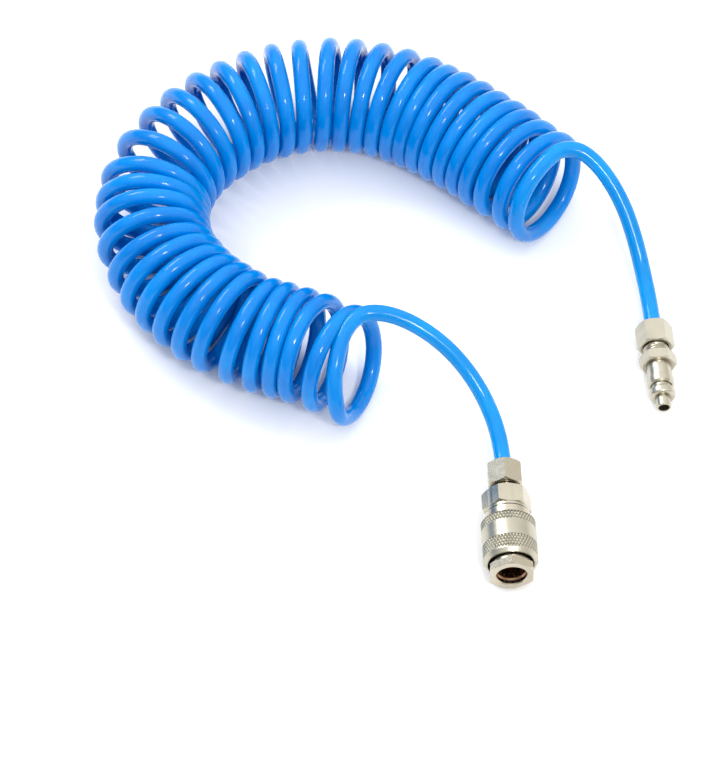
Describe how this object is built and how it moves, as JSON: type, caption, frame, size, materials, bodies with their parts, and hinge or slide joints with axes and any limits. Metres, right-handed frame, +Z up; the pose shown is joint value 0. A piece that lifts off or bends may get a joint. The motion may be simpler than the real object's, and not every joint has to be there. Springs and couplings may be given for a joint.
{
  "type": "coiled air hose",
  "caption": "Coiled blue polyurethane air hose lying in a C, with a sleeve-release quick-coupling socket on one end and its plug on the other.",
  "frame": {"origin": "on the floor, under the middle of the box round the two fittings", "axes": "+Z up from the floor; the socket lies along Y with its mouth towards -Y; the coil lies towards -X and +Y"},
  "size_m": [0.2819, 0.31, 0.0585],
  "materials": {
    "hose": "glossy, slightly translucent azure polyurethane",
    "nickel_plate": "nickel plate over turned steel, satin",
    "ball_steel": "polished",
    "spring_steel": "drawn wire",
    "brass": "turned",
    "seal": "matte"
  },
  "bodies": {
    "hose_and_fittings": {"hose_coil": "hose", "hose_lead_socket": "hose", "hose_lead_plug": "hose", "socket_body": "nickel_plate", "socket_adapter": "nickel_plate", "socket_nut": "nickel_plate", "adapter_gasket": "seal", "plug_packing": "seal", "sleeve_spring": "spring_steel", "valve_spring": "spring_steel", "plug_body": "nickel_plate", "plug_nut": "nickel_plate"},
    "release_sleeve": {"socket_sleeve": "nickel_plate"},
    "valve_poppet": {"valve": "brass", "valve_oring": "seal"},
    "ball_1": {"locking_ball_1": "ball_steel"},
    "ball_2": {"locking_ball_2": "ball_steel"},
    "ball_3": {"locking_ball_3": "ball_steel"},
    "ball_4": {"locking_ball_4": "ball_steel"},
    "ball_5": {"locking_ball_5": "ball_steel"},
    "ball_6": {"locking_ball_6": "ball_steel"}
  },
  "joints": [
    {"name": "sleeve_slide", "type": "slide", "parent": "hose_and_fittings", "child": "release_sleeve", "axis": [0, 1, 0], "range_m": [0, 0.0042], "stiffness_N_per_m": 2500, "springref_m": -0.004, "deforming": ["sleeve_spring"]},
    {"name": "valve_slide", "type": "slide", "parent": "hose_and_fittings", "child": "valve_poppet", "axis": [0, 1, 0], "range_m": [0, 0.003], "stiffness_N_per_m": 800, "springref_m": -0.004, "deforming": ["valve_spring"]},
    {"name": "ball_1_slide", "type": "slide", "parent": "hose_and_fittings", "child": "ball_1", "axis": [1, 0, 0], "range_m": [0, 0.0012]},
    {"name": "ball_2_slide", "type": "slide", "parent": "hose_and_fittings", "child": "ball_2", "axis": [0.5, 0, 0.866], "range_m": [0, 0.0012]},
    {"name": "ball_3_slide", "type": "slide", "parent": "hose_and_fittings", "child": "ball_3", "axis": [-0.5, 0, 0.866], "range_m": [0, 0.0012]},
    {"name": "ball_4_slide", "type": "slide", "parent": "hose_and_fittings", "child": "ball_4", "axis": [-1, 0, 0], "range_m": [0, 0.0012]},
    {"name": "ball_5_slide", "type": "slide", "parent": "hose_and_fittings", "child": "ball_5", "axis": [-0.5, 0, -0.866], "range_m": [0, 0.0012]},
    {"name": "ball_6_slide", "type": "slide", "parent": "hose_and_fittings", "child": "ball_6", "axis": [0.5, 0, -0.866], "range_m": [0, 0.0012]}
  ],
  "couplings": [
    {"joint": "ball_1_slide", "follows": "sleeve_slide", "ratio": 0.2857},
    {"joint": "ball_2_slide", "follows": "sleeve_slide", "ratio": 0.2857},
    {"joint": "ball_3_slide", "follows": "sleeve_slide", "ratio": 0.2857},
    {"joint": "ball_4_slide", "follows": "sleeve_slide", "ratio": 0.2857},
    {"joint": "ball_5_slide", "follows": "sleeve_slide", "ratio": 0.2857},
    {"joint": "ball_6_slide", "follows": "sleeve_slide", "ratio": 0.2857}
  ]
}
